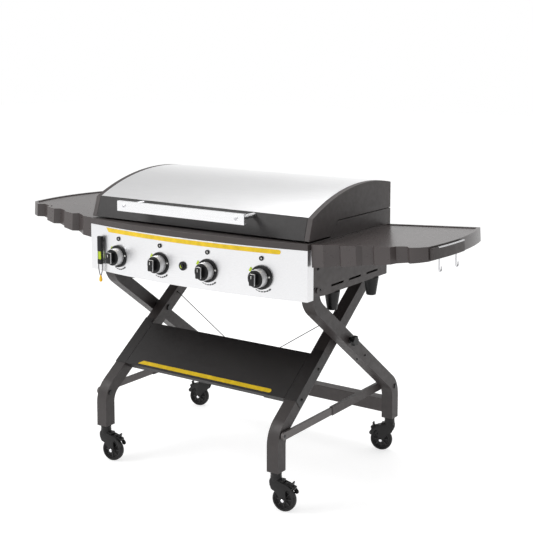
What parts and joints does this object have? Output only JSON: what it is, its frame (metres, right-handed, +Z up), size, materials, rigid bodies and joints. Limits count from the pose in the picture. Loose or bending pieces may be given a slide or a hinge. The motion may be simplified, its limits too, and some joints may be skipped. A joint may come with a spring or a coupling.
{
  "type": "flat top griddle",
  "caption": "Free-standing gas flat top griddle with a hinged lid, bowed control panel, drop-leaf side shelves and a folding X-leg cart on swivel casters.",
  "frame": {"origin": "on the floor, under the middle of the object's bounding box", "axes": "+Z up, +Y from the control panel to the back, +X to the cook's right"},
  "size_m": [1.7489, 0.7487, 1.038],
  "materials": {
    "powder_coat": "fine textured taupe powder coat",
    "firebox_enamel": "matt heat-resistant enamel",
    "lid_steel": "stainless steel brushed left to right",
    "panel_steel": "stainless steel brushed left to right",
    "handle_steel": "satin stainless steel",
    "hardware_steel": "satin zinc-plated steel",
    "yellow_strip": "smooth yellow trim",
    "black_plastic": "moulded black plastic",
    "knob_black": "moulded black plastic with a bright ring",
    "button_black": "polished black plastic",
    "pivot_knob_black": "moulded black plastic",
    "plate_steel": "seasoned, ground cold-rolled steel",
    "burner_steel": "stainless tube dulled by heat",
    "gas_brass": "turned brass and plated pipe",
    "tray_steel": "grey enamelled sheet steel",
    "dark_band": "darker textured powder coat",
    "bolt_black": "black oxide steel",
    "wire_grey": "thin steel wire",
    "brace_grey": "powder-coated steel bar",
    "stick_black": "black sleeve with a yellow-green band and bare wires",
    "caster_black": "black glass-filled plastic",
    "wheel_black": "black tread on a black spoked hub"
  },
  "bodies": {
    "body": {"firebox": "firebox_enamel", "top_rim": "powder_coat", "control_panel": "panel_steel", "panel_strip": "yellow_strip", "knob_bezels": "black_plastic", "griddle_plate": "plate_steel", "burners": "burner_steel", "gas_manifold": "gas_brass", "gas_valves": "gas_brass", "igniter_module": "black_plastic", "wind_guard": "powder_coat", "side_rail_left": "powder_coat", "side_rail_right": "powder_coat", "body_feet": "black_plastic", "lid_hinge_pins": "hardware_steel"},
    "grease_tray": {"grease_tray": "tray_steel"},
    "lid": {"lid_skin": "lid_steel", "lid_end_left": "powder_coat", "lid_end_right": "powder_coat", "lid_front_band": "dark_band", "lid_handle": "handle_steel", "lid_hinge_arms": "hardware_steel"},
    "knob_1": {"knob_1": "knob_black"},
    "knob_2": {"knob_2": "knob_black"},
    "knob_3": {"knob_3": "knob_black"},
    "knob_4": {"knob_4": "knob_black"},
    "igniter_button": {"igniter_button": "button_black"},
    "shelf_left": {"shelf_left": "powder_coat"},
    "shelf_right": {"shelf_right": "powder_coat", "tool_rail": "powder_coat", "tool_hooks": "hardware_steel"},
    "match_stick": {"match_stick": "stick_black"},
    "outer_frame": {"outer_leg_left": "powder_coat", "outer_leg_right": "powder_coat", "rear_cross_beam": "powder_coat", "outer_bolts": "bolt_black"},
    "inner_frame": {"inner_leg_left": "powder_coat", "inner_leg_right": "powder_coat", "lower_plate": "dark_band", "lower_strip": "yellow_strip", "inner_tie_tube": "powder_coat", "wire_stay": "wire_grey", "inner_bolts": "bolt_black"},
    "brace_sleeve_left": {"brace_sleeve_left": "powder_coat"},
    "brace_bar_left": {"brace_bar_left": "brace_grey"},
    "brace_sleeve_right": {"brace_sleeve_right": "powder_coat"},
    "brace_bar_right": {"brace_bar_right": "brace_grey"},
    "pivot_knob": {"pivot_knob": "pivot_knob_black"},
    "fork_front_left": {"fork_front_left": "caster_black"},
    "wheel_front_left": {"wheel_front_left": "wheel_black"},
    "brake_front_left": {"brake_front_left": "caster_black"},
    "fork_front_right": {"fork_front_right": "caster_black"},
    "wheel_front_right": {"wheel_front_right": "wheel_black"},
    "brake_front_right": {"brake_front_right": "caster_black"},
    "fork_rear_left": {"fork_rear_left": "caster_black"},
    "wheel_rear_left": {"wheel_rear_left": "wheel_black"},
    "brake_rear_left": {"brake_rear_left": "caster_black"},
    "fork_rear_right": {"fork_rear_right": "caster_black"},
    "wheel_rear_right": {"wheel_rear_right": "wheel_black"},
    "brake_rear_right": {"brake_rear_right": "caster_black"}
  },
  "joints": [
    {"name": "lid_hinge", "type": "hinge", "parent": "body", "child": "lid", "pos_m": [0, 0.28, 0.93], "axis": [-1, 0, 0], "range_deg": [0, 90]},
    {"name": "knob_1_turn", "type": "hinge", "parent": "body", "child": "knob_1", "pos_m": [-0.3105, -0.3, 0.758], "axis": [0, -1, 0], "range_deg": [0, 180]},
    {"name": "knob_2_turn", "type": "hinge", "parent": "body", "child": "knob_2", "pos_m": [-0.1035, -0.3, 0.758], "axis": [0, -1, 0], "range_deg": [0, 180]},
    {"name": "knob_3_turn", "type": "hinge", "parent": "body", "child": "knob_3", "pos_m": [0.1035, -0.3, 0.758], "axis": [0, -1, 0], "range_deg": [0, 180]},
    {"name": "knob_4_turn", "type": "hinge", "parent": "body", "child": "knob_4", "pos_m": [0.3105, -0.3, 0.758], "axis": [0, -1, 0], "range_deg": [0, 180]},
    {"name": "igniter_press", "type": "slide", "parent": "body", "child": "igniter_button", "axis": [0, 1, 0], "range_m": [0, 0.004], "stiffness_N_per_m": 600},
    {"name": "grease_tray_slide", "type": "slide", "parent": "body", "child": "grease_tray", "axis": [0, 1, 0], "range_m": [0, 0.06]},
    {"name": "match_stick_lift", "type": "slide", "parent": "body", "child": "match_stick", "axis": [0, 0, 1], "range_m": [0, 0.02]},
    {"name": "shelf_left_fold", "type": "hinge", "parent": "body", "child": "shelf_left", "pos_m": [-0.48, 0, 0.806], "axis": [0, -1, 0], "range_deg": [0, 90]},
    {"name": "shelf_right_fold", "type": "hinge", "parent": "body", "child": "shelf_right", "pos_m": [0.48, 0, 0.806], "axis": [0, 1, 0], "range_deg": [0, 90]},
    {"name": "outer_frame_fold", "type": "hinge", "parent": "body", "child": "outer_frame", "pos_m": [0, -0.202, 0.715], "axis": [-1, 0, 0], "range_deg": [0, 24]},
    {"name": "inner_frame_scissor", "type": "hinge", "parent": "outer_frame", "child": "inner_frame", "pos_m": [0, 0.02, 0.50032], "axis": [1, 0, 0], "range_deg": [0, 48]},
    {"name": "brace_sleeve_left_pivot", "type": "hinge", "parent": "outer_frame", "child": "brace_sleeve_left", "pos_m": [-0.405, 0.35, 0.251], "axis": [-1, 0, 0], "range_deg": [-24, 0]},
    {"name": "brace_bar_left_pivot", "type": "hinge", "parent": "inner_frame", "child": "brace_bar_left", "pos_m": [-0.405, -0.31, 0.251], "axis": [-1, 0, 0], "range_deg": [0, 24]},
    {"name": "brace_sleeve_right_pivot", "type": "hinge", "parent": "outer_frame", "child": "brace_sleeve_right", "pos_m": [0.405, 0.35, 0.251], "axis": [-1, 0, 0], "range_deg": [-24, 0]},
    {"name": "brace_bar_right_pivot", "type": "hinge", "parent": "inner_frame", "child": "brace_bar_right", "pos_m": [0.405, -0.31, 0.251], "axis": [-1, 0, 0], "range_deg": [0, 24]},
    {"name": "pivot_knob_turn", "type": "hinge", "parent": "outer_frame", "child": "pivot_knob", "pos_m": [0.47, 0.02, 0.50032], "axis": [1, 0, 0], "range_deg": [-90, 90]},
    {"name": "swivel_front_left", "type": "hinge", "parent": "inner_frame", "child": "fork_front_left", "pos_m": [-0.376, -0.312, 0.129], "axis": [0, 0, 1], "continuous": true},
    {"name": "roll_front_left", "type": "hinge", "parent": "fork_front_left", "child": "wheel_front_left", "pos_m": [-0.34646, -0.30679, 0.0405], "axis": [-0.1736, 0.9848, 0], "continuous": true},
    {"name": "brake_lever_front_left", "type": "hinge", "parent": "fork_front_left", "child": "brake_front_left", "pos_m": [-0.34252, -0.3061, 0.09], "axis": [-0.1736, 0.9848, 0], "range_deg": [0, 14]},
    {"name": "swivel_front_right", "type": "hinge", "parent": "inner_frame", "child": "fork_front_right", "pos_m": [0.376, -0.312, 0.129], "axis": [0, 0, 1], "continuous": true},
    {"name": "roll_front_right", "type": "hinge", "parent": "fork_front_right", "child": "wheel_front_right", "pos_m": [0.40554, -0.30679, 0.0405], "axis": [-0.1736, 0.9848, 0], "continuous": true},
    {"name": "brake_lever_front_right", "type": "hinge", "parent": "fork_front_right", "child": "brake_front_right", "pos_m": [0.40948, -0.3061, 0.09], "axis": [-0.1736, 0.9848, 0], "range_deg": [0, 14]},
    {"name": "swivel_rear_left", "type": "hinge", "parent": "outer_frame", "child": "fork_rear_left", "pos_m": [-0.434, 0.352, 0.129], "axis": [0, 0, 1], "continuous": true},
    {"name": "roll_rear_left", "type": "hinge", "parent": "fork_rear_left", "child": "wheel_rear_left", "pos_m": [-0.46284, 0.34373, 0.0405], "axis": [0.2756, -0.9613, 0], "continuous": true},
    {"name": "brake_lever_rear_left", "type": "hinge", "parent": "fork_rear_left", "child": "brake_rear_left", "pos_m": [-0.46668, 0.34263, 0.09], "axis": [0.2756, -0.9613, 0], "range_deg": [0, 14]},
    {"name": "swivel_rear_right", "type": "hinge", "parent": "outer_frame", "child": "fork_rear_right", "pos_m": [0.434, 0.352, 0.129], "axis": [0, 0, 1], "continuous": true},
    {"name": "roll_rear_right", "type": "hinge", "parent": "fork_rear_right", "child": "wheel_rear_right", "pos_m": [0.40516, 0.34373, 0.0405], "axis": [0.2756, -0.9613, 0], "continuous": true},
    {"name": "brake_lever_rear_right", "type": "hinge", "parent": "fork_rear_right", "child": "brake_rear_right", "pos_m": [0.40132, 0.34263, 0.09], "axis": [0.2756, -0.9613, 0], "range_deg": [0, 14]}
  ],
  "couplings": [
    {"joint": "inner_frame_scissor", "follows": "outer_frame_fold", "ratio": 2},
    {"joint": "brace_sleeve_left_pivot", "follows": "outer_frame_fold", "ratio": -1},
    {"joint": "brace_bar_left_pivot", "follows": "outer_frame_fold", "ratio": 1},
    {"joint": "brace_sleeve_right_pivot", "follows": "outer_frame_fold", "ratio": -1},
    {"joint": "brace_bar_right_pivot", "follows": "outer_frame_fold", "ratio": 1}
  ]
}
